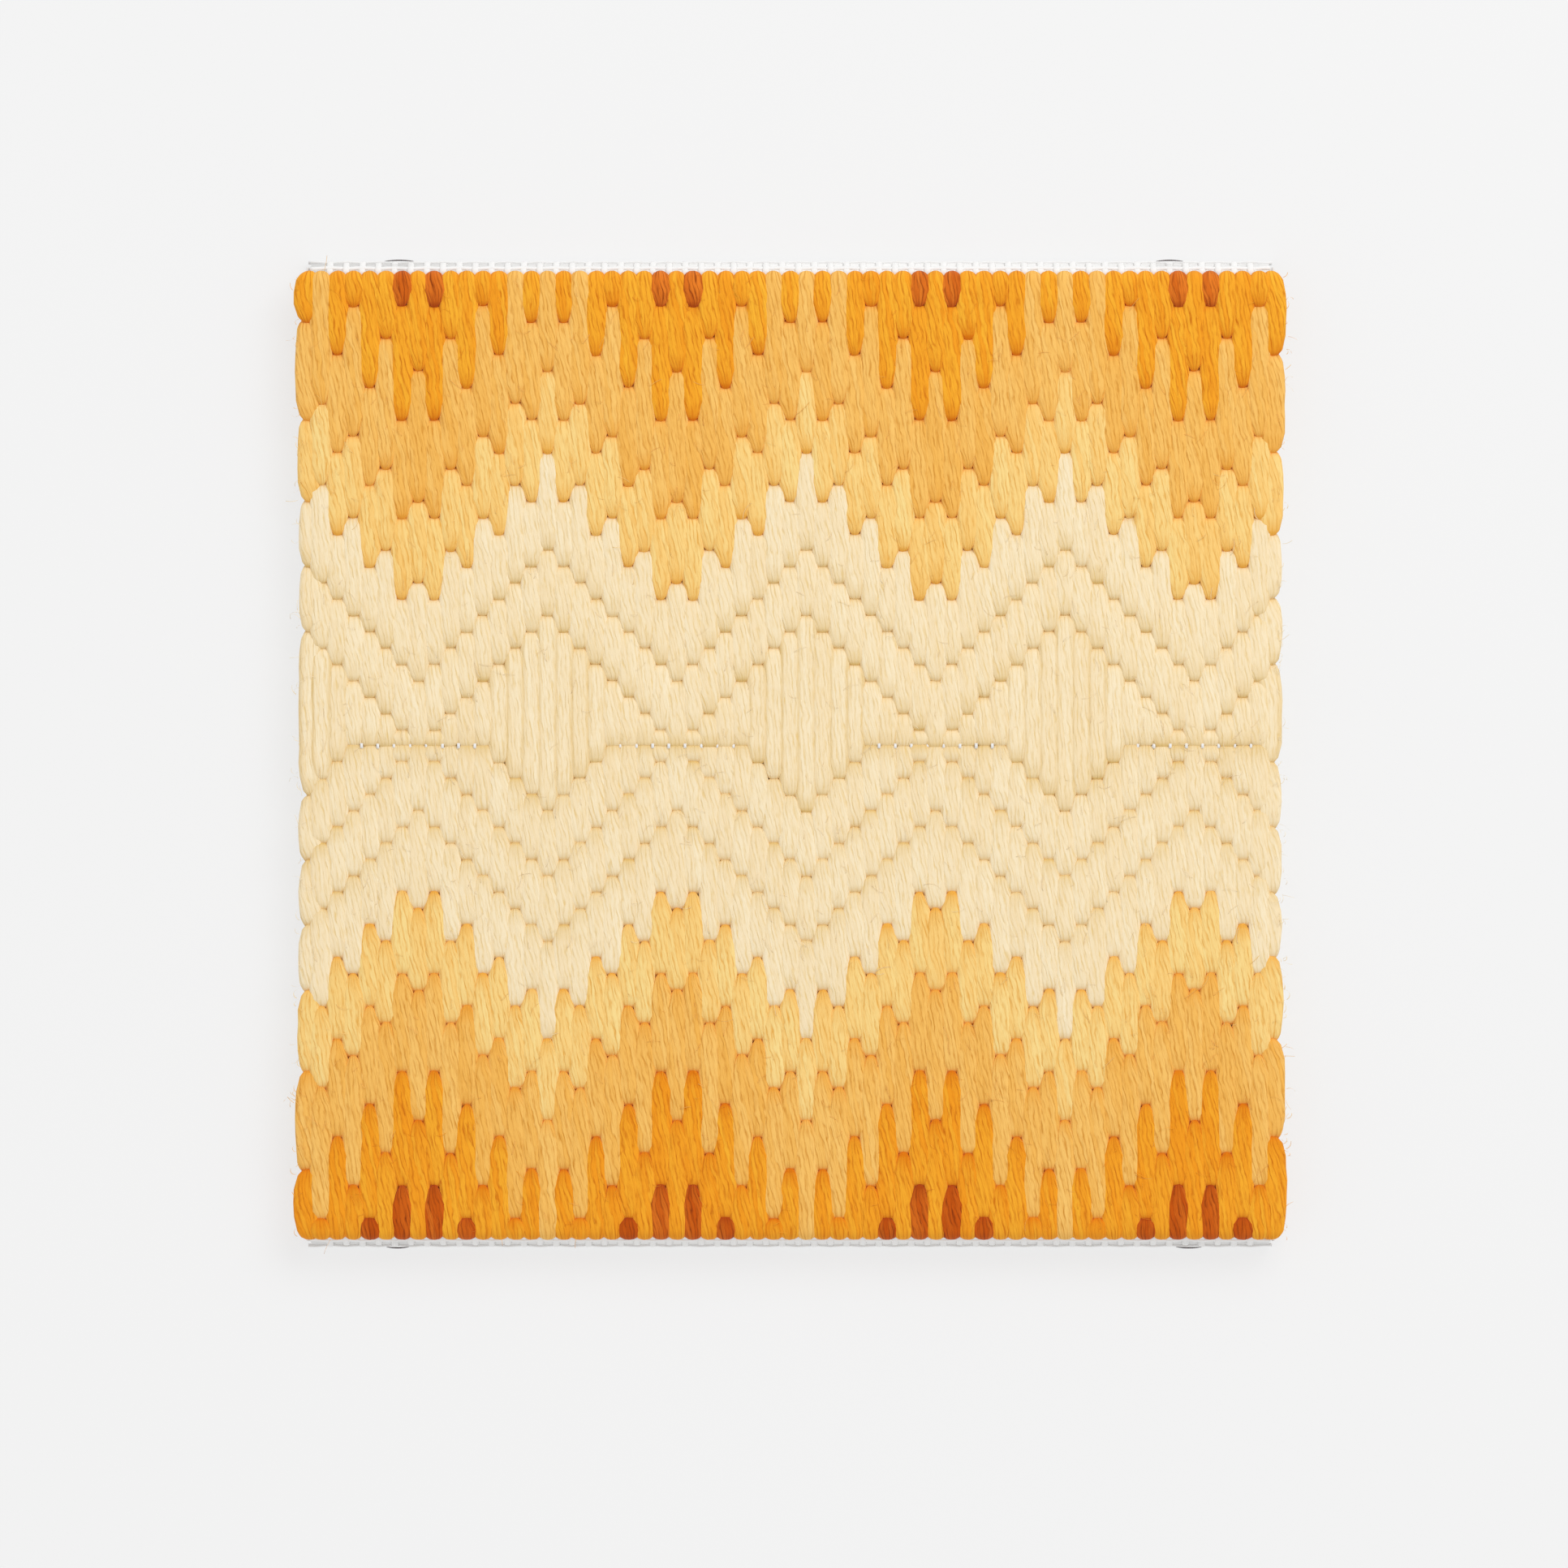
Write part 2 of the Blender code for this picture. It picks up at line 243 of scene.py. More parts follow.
def section_at(fraction, power):
    """The (across, up) pair of an outline at a fraction of the way round it."""
    place = (fraction % 1.0) * SECTION_STEPS
    steps = np.arange(SECTION_STEPS + 1)
    across, up, _ = SECTIONS[power]
    return np.interp(place, steps, across), np.interp(place, steps, up)


class ClothMesh:
    """Collects swept tubes into one mesh, with a UV map that runs round and along each of them."""

    def __init__(self, attributes=()):
        self.points, self.quads, self.caps, self.uvs = [], [], [], []
        self.attributes = {name: [] for name in attributes}
        self.count = 0

    def add_tube(self, rings, around, along, twist=0.0, **attributes):
        """rings is (stations, sides, 3), around the distance round each ring, along the distance
        to each station, and twist how far the map has turned round the yarn for each distance."""
        stations, sides, _ = rings.shape
        index = self.count + np.arange(stations * sides).reshape(stations, sides)
        here, beside = index, np.roll(index, -1, axis=1)
        quads = np.stack([here[:-1], beside[:-1], beside[1:], here[1:]], axis=-1).reshape(-1, 4)
        low = np.repeat(along[:-1, None], sides, axis=1)
        high = np.repeat(along[1:, None], sides, axis=1)
        uv = np.stack([np.stack([around[begin][None, :] - twist * place, place], -1)
                       for begin, place in ((slice(None, -1), low), (slice(1, None), low),
                                            (slice(1, None), high), (slice(None, -1), high))], axis=2)
        self.points.append(rings.reshape(-1, 3))
        self.quads.append(quads)
        self.uvs.append(uv.reshape(-1, 2))
        self.caps += [index[0][::-1].tolist(), index[-1].tolist()]
        for name, values in attributes.items():
            self.attributes[name].append(np.broadcast_to(values, (stations, sides)).reshape(-1))
        self.count += stations * sides

    def to_object(self, name):
        points = np.concatenate(self.points)
        quads = np.concatenate(self.quads)
        mesh = bpy.data.meshes.new(name)
        mesh.from_pydata(points.tolist(), [], quads.tolist() + self.caps)
        uv_map = mesh.uv_layers.new(name="yarn")
        flat = np.zeros((len(mesh.loops), 2), dtype=np.float32)
        quad_uvs = np.concatenate(self.uvs)
        flat[:len(quad_uvs)] = quad_uvs
        uv_map.data.foreach_set("uv", flat.reshape(-1))
        for attribute, values in self.attributes.items():
            layer = mesh.attributes.new(attribute, "FLOAT", "POINT")
            layer.data.foreach_set("value", np.concatenate(values).astype(np.float32))
        mesh.validate()
        made = bpy.data.objects.new(name, mesh)
        bpy.context.scene.collection.objects.link(made)
        bpy.ops.object.select_all(action="DESELECT")
        made.select_set(True)
        bpy.context.view_layer.objects.active = made
        bpy.ops.object.mode_set(mode="EDIT")
        bpy.ops.mesh.select_all(action="SELECT")
        bpy.ops.mesh.normals_make_consistent(inside=False)
        bpy.ops.object.mode_set(mode="OBJECT")
        bpy.ops.object.shade_smooth()
        return made


# Lengths of the two waves of a drift in millimetres, sideways and in height.
SIDE_WAVES, HEIGHT_WAVES = (7.0, 3.1), (9.0, 4.3)


def slow_wander(chance, along, reach, waves=SIDE_WAVES):
    """A smooth random drift along a yarn, up to about reach each way."""
    total = np.zeros_like(along)
    for wave, share in zip(waves, (0.65, 0.35)):
        total += share * np.sin(2 * np.pi * along / (wave * MM) + chance.uniform(0, 2 * np.pi))
    return reach * total


# The stitches

# Height of the middle of a stitch over the ground, between its turned ends.
PLATEAU = 5.2 * MM
# How each end of a stitch turns down into its hole, in millimetres: distance from the hole's
# middle to the yarn's, length and depth of the turn, the yarn's half width and half height in
# the hole, the length over which it narrows, and how pointed that makes it, where 0.5 is a half
# round. The tip lies over the tucked end of its neighbour.
TIP = {"off": 0.04, "run": 0.55, "drop": 0.60, "half_width": 0.26, "half_height": 0.48,
       "taper": 2.6, "point": 0.65}
CREAM_TIP = dict(TIP, off=0.16, half_width=0.45, taper=1.7, point=0.5)
# In the lower half the tips of the coloured wools are wider and more pointed.
LOWER_WIDER, LOWER_POINT = 1.2, 0.10
# On the middle line the ends of two stitches meet, and their hole nearly closes, so the painted shade there
# is weaker.
MIDDLE_TIP = {"off": 0.05, "drop": 0.36, "half_width": 0.60}
MIDDLE_SHADE = 0.85
# At the sides of the panel the tips are fuller, so that the edge stays nearly straight, and
# the stitches lie a little lower.
SIDE_TIP = {"half_width": 0.50, "taper": 1.25, "point": 0.5}
SIDE_SINK = 0.12 * MM
# The tucked end lies this much lower, so that its neighbour's tip shows over it.
TUCK_SINK = 0.18 * MM
TUCK = {"off": 0.05, "run": 1.00, "drop": 0.90, "half_width": 1.10, "half_height": 0.42,
        "taper": 1.5, "point": 0.5}
# At the borders of the stitching there is no neighbour.
TOP_BORDER = dict(TUCK, off=0.18, run=0.80, drop=0.95, half_width=0.50)
BOTTOM_BORDER = dict(TOP_BORDER, off=-0.10, half_width=0.80)
# The length over which a yarn becomes plump, and the share of a short stitch that this and its
# taper may reach over.
ROUNDING = 1.3 * MM
REACH_SHARE = 0.48
# How far each wool's stitches are drawn in from the edge of the panel, and further at a hole.
EDGE_INSET = {"cream": 0.58, "yellow": 0.42, "gold": 0.20, "orange": 0.0, "rust": 0.0}
EDGE_PINCH = 0.55 * MM
# How far a stitch's round tip lies over the stitches beside it.
TIP_RAISE = {"cream": 0.02, "yellow": 0.06, "gold": 0.07, "orange": 0.10, "rust": 0.17}
# The stitches that cross the middle line, in the diamonds, are hardly twisted and lie a little apart, with
# painted shade along their sides, so that straight lines show between them.
DIAMOND_LEAN = 0.45
DIAMOND_WIDTH = 0.96
# How far a stitch drifts from side to side and in height.
SIDE_DRIFT, HEIGHT_DRIFT = 0.07 * MM, 0.035 * MM
# Steps in the turn at each end, and how far the yarn goes on down into the hole.
TURN_STEPS = 5
ROOT_DEPTH = 0.55 * MM
# The two turns together take up no more than this share of a short stitch.
TURN_SHARE = 0.92


def stitch_stations(length, station, tip_end, outer_end):
    """Stations from the inner hole to the outer one: distance from the inner hole, height
    over the plateau's middle, and the angle that the yarn dives at, at each."""
    free = length - (tip_end["off"] + outer_end["off"]) * MM
    squeeze = min(1.0, TURN_SHARE * free / ((tip_end["run"] + outer_end["run"]) * MM))
    turn = np.linspace(np.pi / 2, 0, TURN_STEPS + 1)
    ends = []
    for end in (tip_end, outer_end):
        run = end["run"] * MM * squeeze
        place = end["off"] * MM + run * (1 - np.sin(turn))
        height = -end["drop"] * MM * (1 - np.cos(turn))
        ends.append((np.concatenate([[end["off"] * MM], place]),
                     np.concatenate([[height[0] - ROOT_DEPTH], height]),
                     np.concatenate([[turn[0]], turn])))
    tip, tuck = ends
    start, stop = tip[0][-1], length - tuck[0][-1]
    steps = max(1, round((stop - start) / station))
    middle = np.linspace(start, stop, steps + 1)[1:-1]
    place = np.concatenate([tip[0], middle, length - tuck[0][::-1]])
    height = np.concatenate([tip[1], np.zeros(len(middle)), tuck[1][::-1]])
    dive = np.concatenate([tip[2], np.zeros(len(middle)), -tuck[2][::-1]])
    return place, height, dive


def eased(distance, reach, point=0.5):
    """0 at a hole and 1 from reach onwards, rising like the quarter of a circle, or as a more
    pointed arch where point is over a half."""
    share = np.clip(distance / reach, 0, 1)
    return (1 - (1 - share) ** 2) ** point


# Loose fibres for each metre of stitch, and how many times more there are at the sides.
FUZZ, EDGE_FUZZ = 110, 7
# Real fibres are 0.03 mm thick: these are drawn 0.06 mm thick, so that they show in the render.
FIBRE_RADIUS = 0.03 * MM
FIBRE_STEPS = 6
# Their shortest and longest in millimetres, and their height over the middle of a stitch.
FIBRE_LENGTHS, EDGE_FIBRE_LENGTHS = (0.8, 2.6), (0.5, 1.7)
FIBRE_HEIGHT = 0.70 * MM

# Sides of the ring round a stitch, and how uneven its surface is.
RING_SIDES = 22
UNEVEN = 0.02 * MM
# How much painted shade each wool has beside a hole, where the yarn turns down away from the light, and how
# far that reaches along the yarn: softly at the tip, in a sharp line at the tip, and at the tucked end.
PAINTED_HALO = {"cream": 0.45, "yellow": 0.50, "rust": 0.30}
SOFT_REACH, LINE_REACH, TUCK_REACH = 1.0 * MM, 0.18 * MM, 0.30 * MM
HOLE_RADIUS = 0.3 * MM
# The wools of the upper half and of the lower half differ slightly in lightness: how much lighter a wool is,
# with True for the upper half.
HALF_LIGHTNESS = {
    ("rust", True): 0.38,
    ("rust", False): -0.45,
    ("orange", False): -0.30,
    ("yellow", False): 0.25,
}


def loose_fibre(cloth, chance, x, y, outermost):
    """A single fibre that has worked out of the yarn and lies curled over its surface."""
    length = chance.uniform(*(EDGE_FIBRE_LENGTHS if outermost else FIBRE_LENGTHS)) * MM
    share = np.linspace(0, 1, FIBRE_STEPS)
    heading = np.pi / 2 + chance.uniform(-1.1, 1.1) - outermost * 0.7
    bend = chance.uniform(-1.6, 1.6) * (2 if outermost else 1)
    angle = heading + bend * share
    step = length / (FIBRE_STEPS - 1)
    centre_x = x + chance.uniform(-0.4, 0.4) * MM + step * np.cumsum(np.cos(angle))
    centre_y = y + step * np.cumsum(np.sin(angle)) * chance.choice((-1, 1))
    arch = chance.uniform(0.05, 0.35) * MM * np.sin(np.pi * share)
    centre = np.stack([centre_x, centre_y, PLATEAU + FIBRE_HEIGHT + arch], 1)
    around = np.arange(3) / 3 * 2 * np.pi
    ring = FIBRE_RADIUS * np.stack([np.cos(around), np.zeros(3), np.sin(around)], 1)
    ring[:, 1] = -ring[:, 0] * math.cos(heading)
    rings = centre[:, None, :] + ring[None, :, :]
    cloth.add_tube(rings, np.linspace(0, 0.4 * MM, 4), share * length, hole=0.0, tone=0.6)


def stitch_ends(wool, outermost, inner, outer, chance):
    """How the round tip and the tucked end of this stitch are shaped."""
    tip = CREAM_TIP if wool == "cream" else TIP
    if inner < 0 and wool != "cream":
        tip = dict(tip, half_width=tip["half_width"] * LOWER_WIDER, point=tip["point"] + LOWER_POINT)
    if inner == 0:
        tip = dict(tip, **MIDDLE_TIP)
    if outermost:
        tip = dict(tip, **SIDE_TIP)
    # No two ends are pulled quite alike.
    tip = dict(tip, off=tip["off"] + chance.uniform(-0.14, 0.14),
               half_width=tip["half_width"] * chance.uniform(0.85, 1.15))
    return tip, {THREADS_ABOVE: TOP_BORDER, -THREADS_BELOW: BOTTOM_BORDER}.get(outer, TUCK)


def stitch_sizes(from_tip, from_tuck, tip, tuck, full_width, full_height):
    """Half width, half height and plumpness of a stitch at each station."""
    length = from_tip[0] + from_tuck[0]
    width, thick, plump = (np.full_like(from_tip, full) for full in (full_width, full_height, 1.0))
    for end, distance in ((tip, from_tip), (tuck, from_tuck)):
        free = distance - end["off"] * MM
        grow = eased(free, min(ROUNDING, REACH_SHARE * length))
        spread = eased(free, min(end["taper"] * MM, REACH_SHARE * length), end["point"])
        narrow, thin = end["half_width"] * MM, end["half_height"] * MM
        width = np.minimum(width, narrow + (full_width - narrow) * spread)
        thick = np.minimum(thick, thin + (full_height - thin) * grow)
        plump = np.minimum(plump, grow)
    return width, thick, plump


def hole_shade(wool, inner, from_tip, from_tuck, tuck):
    """How much painted shade a stitch has along its length: most where it turns down into a hole."""
    near_tip, near_tuck = (np.clip(away - HOLE_RADIUS, 0, None) for away in (from_tip, from_tuck))
    shade = PAINTED_HALO.get(wool, 0.50) * np.exp(-near_tip / SOFT_REACH) + 0.50 * np.exp(-near_tip / LINE_REACH)
    if inner == 0:
        shade = shade * MIDDLE_SHADE
    # The tucked end, under its neighbour's tip, gets painted shade; an end at a border gets little.
    buried = 0.8 if tuck is TUCK else 0.1
    return np.maximum(shade, buried * np.exp(-near_tuck / TUCK_REACH))


def stitch_path(wool, column, outermost, start, outwards, length, stations, chance):
    """The middle of a stitch's yarn at each station, and the way up out of the yarn there."""
    from_tip, height, dive = stations
    from_tuck = length - from_tip
    sink = TUCK_SINK * np.exp(-np.clip(from_tuck - 0.4 * MM, 0, None) / (0.6 * MM))
    centre_x = column_x(column) + slow_wander(chance, from_tip, SIDE_DRIFT)
    if outermost:
        pinch = EDGE_PINCH * np.exp(-np.minimum(from_tip, from_tuck) / (1.5 * MM))
        centre_x = centre_x - outermost * (EDGE_INSET[wool] * MM + pinch)
        height = height - SIDE_SINK
    height = height + TIP_RAISE[wool] * MM * np.exp(-from_tip / (4.0 * MM))
    centre_z = PLATEAU + height - sink + slow_wander(chance, from_tip, HEIGHT_DRIFT, HEIGHT_WAVES)
    centre = np.stack([centre_x, start + outwards * from_tip, centre_z], axis=1)
    up = np.stack([np.zeros_like(dive), -outwards * np.sin(dive), np.cos(dive)], axis=1)
    return centre, up


def yarn_rings(centre, up, width, thick, plump, chance):
    """Rings round a yarn of these half widths and half heights, and how far across it each of
    their points lies, as a share of the half width."""
    # Rings begin under the yarn, so that the seam of its map is out of sight.
    fraction = np.arange(RING_SIDES)[None, :] / RING_SIDES + 0.75
    (across, over), (round_across, round_over) = (section_at(fraction, power) for power in (PLUMP, ROUND))
    across = round_across + (across - round_across) * plump[:, None]
    over = round_over + (over - round_over) * plump[:, None]
    uneven = UNEVEN * chance.uniform(-1, 1, (len(centre), RING_SIDES))
    side = np.tile([1.0, 0.0, 0.0], (len(centre), 1))
    rings = (centre[:, None, :]
             + side[:, None, :] * (across * (width[:, None] + uneven))[..., None]
             + up[:, None, :] * (over * (thick[:, None] + uneven))[..., None])
    return rings, across


def face_stitch(cloth, wool, column, inner, outer, chance):
    """One upright stitch of plied wool between two holes of a column."""
    settings = bpy.context.scene.stitch_settings
    start, end = thread_y(inner), thread_y(outer)
    length, outwards = abs(end - start), math.copysign(1, end - start)
    outermost = (column == COLUMNS - 1) - (column == 0)
    in_diamond = inner * outer < 0
    tip, tuck = stitch_ends(wool, outermost, inner, outer, chance)
    stations = stitch_stations(length, settings.station, tip, tuck)
    from_tip = stations[0]
    from_tuck = length - from_tip
    full_width = settings.yarn_width / 2 * chance.uniform(0.96, 1.05) * (DIAMOND_WIDTH if in_diamond else 1.0)
    full_height = settings.yarn_height / 2
    width, thick, plump = stitch_sizes(from_tip, from_tuck, tip, tuck, full_width, full_height)
    centre, up = stitch_path(wool, column, outermost, start, outwards, length, stations, chance)
    rings, across = yarn_rings(centre, up, width, thick, plump, chance)

    # Painted shade beside the holes, stronger at some holes than at others.
    hole = hole_shade(wool, inner, from_tip, from_tuck, tuck) * chance.uniform(0.5, 1.15)
    hole = np.tile(hole[:, None], (1, RING_SIDES))
    # In the diamonds the sides of each stitch get painted shade too, for the shade between the columns.
    if in_diamond:
        beside = np.clip((np.abs(across) * width[:, None] - 0.70 * MM) / (0.4 * MM), 0, 1)
        hole = np.maximum(hole, chance.uniform(0.2, 0.65) * beside)
    lean = settings.lean * chance.uniform(0.75, 1.25) * (DIAMOND_LEAN if in_diamond else 1.0)
    perimeter = SECTIONS[PLUMP][2] * full_height
    cloth.add_tube(
        rings,
        np.linspace(0, perimeter, RING_SIDES + 1) + chance.uniform(0, 1),
        start + outwards * from_tip + chance.uniform(0, 1),
        twist=math.tan(lean),
        hole=hole,
        tone=chance.uniform(-1, 1) * 0.25 + HALF_LIGHTNESS.get((wool, outer > 0), 0.0),
    )
    base = column_x(column) + outermost * (1.1 - EDGE_INSET[wool]) * MM
    for _ in range(chance.poisson(length * FUZZ * (EDGE_FUZZ if outermost else 1))):
        loose_fibre(cloth, chance, base, start + outwards * chance.uniform(0, length), outermost)


# Materials


# A mix node's sockets for colours: its two inputs and its output.
MIX_FROM, MIX_TO, MIX_OUT = 6, 7, 2


def add_node(tree, kind, feeds=(), output=0, **settings):
    """Adds a shader node and gives back one of its outputs. Settings are its properties, or
    values of its inputs by name with underscores for spaces, and feeds are (input, source)
    pairs, where a source is the output of another node or a constant."""
    node = tree.nodes.new(kind)
    for name, value in settings.items():
        if hasattr(node, name):
            setattr(node, name, value)
        else:
            node.inputs[name.replace("_", " ")].default_value = value
    for name, source in feeds:
        if isinstance(source, bpy.types.NodeSocket):
            tree.links.new(source, node.inputs[name])
        else:
            node.inputs[name].default_value = source
    return node.outputs[output]


def new_material(name):
    """A material, its node tree and the shader in it."""
    material = bpy.data.materials.new(name)
    material.use_nodes = True
    tree = material.node_tree
    shader = tree.nodes["Principled BSDF"]
    return material, tree, shader


def streaks(tree, yarn, width, length):
    """Uneven streaks of this width and length that follow the strands of a yarn."""
    scaled = add_node(tree, "ShaderNodeMapping", [("Vector", yarn)], Scale=(1 / width, 1 / length, 1))
    return add_node(tree, "ShaderNodeTexNoise", [("Vector", scaled)], Scale=1.0, Detail=2.0, Roughness=0.6)


# How far the strands of a yarn sway, in strands.
STRAND_SWAY = 2.2


def between_strands(tree, yarn, pitch):
    """1 on the lines between the strands of a yarn, where painted shade goes, and 0 on top of them, and the
    number of the strand. The strands are this wide, and they wander a little."""
    drift = streaks(tree, yarn, 1.3 * MM, 3.2 * MM)
    sway = add_node(tree, "ShaderNodeMath", [(0, drift), (1, STRAND_SWAY)], operation="MULTIPLY")
    place = add_node(tree, "ShaderNodeSeparateXYZ", [("Vector", yarn)], "X")
    strand = add_node(tree, "ShaderNodeMath", [(0, place), (1, 1 / pitch), (2, sway)],
                      operation="MULTIPLY_ADD")
    swing = add_node(tree, "ShaderNodeMath", [(0, strand), (1, 0.5)], operation="PINGPONG")
    between = add_node(tree, "ShaderNodeMapRange", [("Value", swing)], From_Min=0.22, From_Max=0.5)
    return between, add_node(tree, "ShaderNodeMath", [(0, strand)], operation="ROUND")


def tapestry_wool(wool):
    """Dyed tapestry wool, softly spun: it scatters light, with no gloss. The finer and deeper lines between
    its strands are painted shade, and so is its deepest colour where it turns down into a hole."""
    # Of the four colours, the lines' colour is painted shade between the strands, and the last is painted
    # shade where the yarn turns down into a hole.
    light, body, line, painted_hole_shade = (hex_colour(code) for code in WOOL_SHADES[wool])
    stitch = bpy.context.scene.stitch_settings
    material, tree, shader = new_material(f"dyed tapestry wool, {wool}")
    yarn = add_node(tree, "ShaderNodeUVMap", uv_map="yarn")
    # Wool fibres are about 0.03 mm thick: these are drawn 0.16 mm wide, to show in the render.
    fine = streaks(tree, yarn, 0.16 * MM, 2.8 * MM)
    # The plies are spun unevenly, so that the painted shade in the lines between them comes and goes.
    broad = streaks(tree, yarn, 0.45 * MM, 2.6 * MM)
    groove, number = between_strands(tree, yarn, SECTIONS[PLUMP][2] * stitch.yarn_height / 2 / stitch.strands)
    # The hole attribute holds how much painted shade each point has by a hole or along a diamond stitch's
    # side.
    hole = add_node(tree, "ShaderNodeAttribute", output="Fac", attribute_name="hole")
    tone = add_node(tree, "ShaderNodeAttribute", output="Fac", attribute_name="tone")

    # Each strand has its own lightness.
    own = add_node(tree, "ShaderNodeTexWhiteNoise", [("W", number)], "Value", noise_dimensions="1D")
    shade = add_node(tree, "ShaderNodeMath", [(0, tone), (1, own)], operation="ADD")
    lit = add_node(tree, "ShaderNodeMapRange", [("Value", shade)], From_Min=-0.25, From_Max=1.25)
    strands = add_node(tree, "ShaderNodeMix", [("Factor", lit), (MIX_FROM, body), (MIX_TO, light)],
                       MIX_OUT, data_type="RGBA")
    patchy = add_node(tree, "ShaderNodeMapRange", [("Value", broad)],
                      From_Min=0.40, From_Max=0.60, To_Min=0.12, To_Max=0.68)
    between = add_node(tree, "ShaderNodeMath", [(0, groove), (1, patchy)], operation="MULTIPLY")
    fibres = add_node(tree, "ShaderNodeMapRange", [("Value", fine)],
                      From_Min=0.48, From_Max=0.68, To_Min=0.0, To_Max=0.42)
    # The lines between strands are painted shade; the fine fibre streaks mixed in with them are partly fibre
    # texture and partly painted shade.
    lines = add_node(tree, "ShaderNodeMath", [(0, between), (1, fibres)], operation="ADD", use_clamp=True)
    with_groove_shade = add_node(tree, "ShaderNodeMix", [("Factor", lines), (MIX_FROM, strands), (MIX_TO, line)],
                     MIX_OUT, data_type="RGBA")
    # Beside the holes the colour goes over to the painted shade.
    colour = add_node(tree, "ShaderNodeMix", [("Factor", hole), (MIX_FROM, with_groove_shade), (MIX_TO, painted_hole_shade)],
                      MIX_OUT, data_type="RGBA")
    tree.links.new(colour, shader.inputs["Base Color"])
    relief = add_node(tree, "ShaderNodeMath", [(0, fine), (1, between)], operation="SUBTRACT")
    bump = add_node(tree, "ShaderNodeBump", [("Height", relief)], Strength=0.65, Distance=0.10 * MM)
    tree.links.new(bump, shader.inputs["Normal"])
    shader.inputs["Roughness"].default_value = 0.95
    shader.inputs["Specular IOR Level"].default_value = 0.15
    shader.inputs["Sheen Weight"].default_value = 0.08
    shader.inputs["Sheen Roughness"].default_value = 0.5
    return material


def canvas_cotton():
    """Single-thread needlepoint canvas: stiff white cotton, dressed with size, so it has a
    faint shine and a hard, even thread."""
    settings = bpy.context.scene.canvas_settings
    material, tree, shader = new_material("sized white cotton canvas")
    place = add_node(tree, "ShaderNodeTexCoord", output="Object")
    # Each thread is plied from cotton about 0.2 mm thick.
    spun = add_node(tree, "ShaderNodeTexNoise", [("Vector", place)], Scale=1 / (0.4 * MM), Detail=3.0)
    feeds = [("Factor", spun), (MIX_FROM, settings.canvas_colour), (MIX_TO, hex_colour("#F8F7F6"))]
    colour = add_node(tree, "ShaderNodeMix", feeds, MIX_OUT, data_type="RGBA")
    tree.links.new(colour, shader.inputs["Base Color"])
    bump = add_node(tree, "ShaderNodeBump", [("Height", spun)], Strength=0.35, Distance=0.05 * MM)
    tree.links.new(bump, shader.inputs["Normal"])
    shader.inputs["Roughness"].default_value = 0.7
    shader.inputs["Specular IOR Level"].default_value = 0.3
    return material


def tacking_cotton():
    """Dark sewing cotton, twisted hard, with the slight sheen of a glazed thread."""
    settings = bpy.context.scene.canvas_settings
    material, tree, shader = new_material("dark sewing cotton")
    place = add_node(tree, "ShaderNodeTexCoord", output="Object")
    # Its plies show as bands every 0.3 mm.
    plies = add_node(tree, "ShaderNodeTexWave", [("Vector", place)], "Fac",
                     Scale=1 / (1.9 * MM), Distortion=2.0)
    feeds = [("Factor", plies), (MIX_FROM, settings.tack_colour), (MIX_TO, hex_colour("#57484A"))]
    colour = add_node(tree, "ShaderNodeMix", feeds, MIX_OUT, data_type="RGBA")
    tree.links.new(colour, shader.inputs["Base Color"])
    shader.inputs["Roughness"].default_value = 0.6
    return material


def light_table():
    """A matt white acrylic light table, dimly lit from below, which keeps shadows pale."""
    material, _, shader = new_material("matt white acrylic")
    shader.inputs["Base Color"].default_value = bpy.context.scene.stage_settings.floor_colour
    shader.inputs["Roughness"].default_value = 0.9
    shader.inputs["Specular IOR Level"].default_value = 0.1
    shader.inputs["Emission Color"].default_value = (1, 1, 1, 1)
    shader.inputs["Emission Strength"].default_value = bpy.context.scene.stage_settings.glow
    return material


def dress(piece, material, slot, *nodes):
    """Gives a piece its material, hangs it from the root, and hides the nodes whose place it takes. The slot
    is not used.
    """
    piece.data.materials.append(material)
    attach(piece, "root")
    if nodes:
        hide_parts(*nodes)


# Operators

FACE_SEED, REVERSE_SEED = 12, 34


class MESH_OT_face_wool(bpy.types.Operator):
    """Works the upright stitches of the face, one piece for each wool"""

    bl_idname = "mesh.face_wool"
    bl_label = "Work Face Wool"

    def execute(self, context):
        cloths = {}
        chance = np.random.default_rng(FACE_SEED)
        for column in range(COLUMNS):
            for wool, inner, outer in charted_stitches(column):
                half = "upper" if inner + outer > 0 else "lower"
                cloth = cloths.setdefault((wool, half), ClothMesh(("hole", "tone")))
                face_stitch(cloth, wool, column, inner, outer, chance)
        nodes = frame["nodes"]
        materials = {wool: tapestry_wool(wool) for wool, _, _ in WOOLS}
        for (wool, half), cloth in cloths.items():
            piece = cloth.to_object(f"stitches_{wool}_{half}")
            ending = {"upper": "top", "lower": "bottom"}[half]
            stands_for = [node for node in nodes
                          if node == f"wool_{wool}" or node.startswith(f"wool_{wool}_{ending}")]
            dress(piece, materials[wool], f"{wool}_wool", *stands_for)
        return {"FINISHED"}


ARC_STEPS = 12


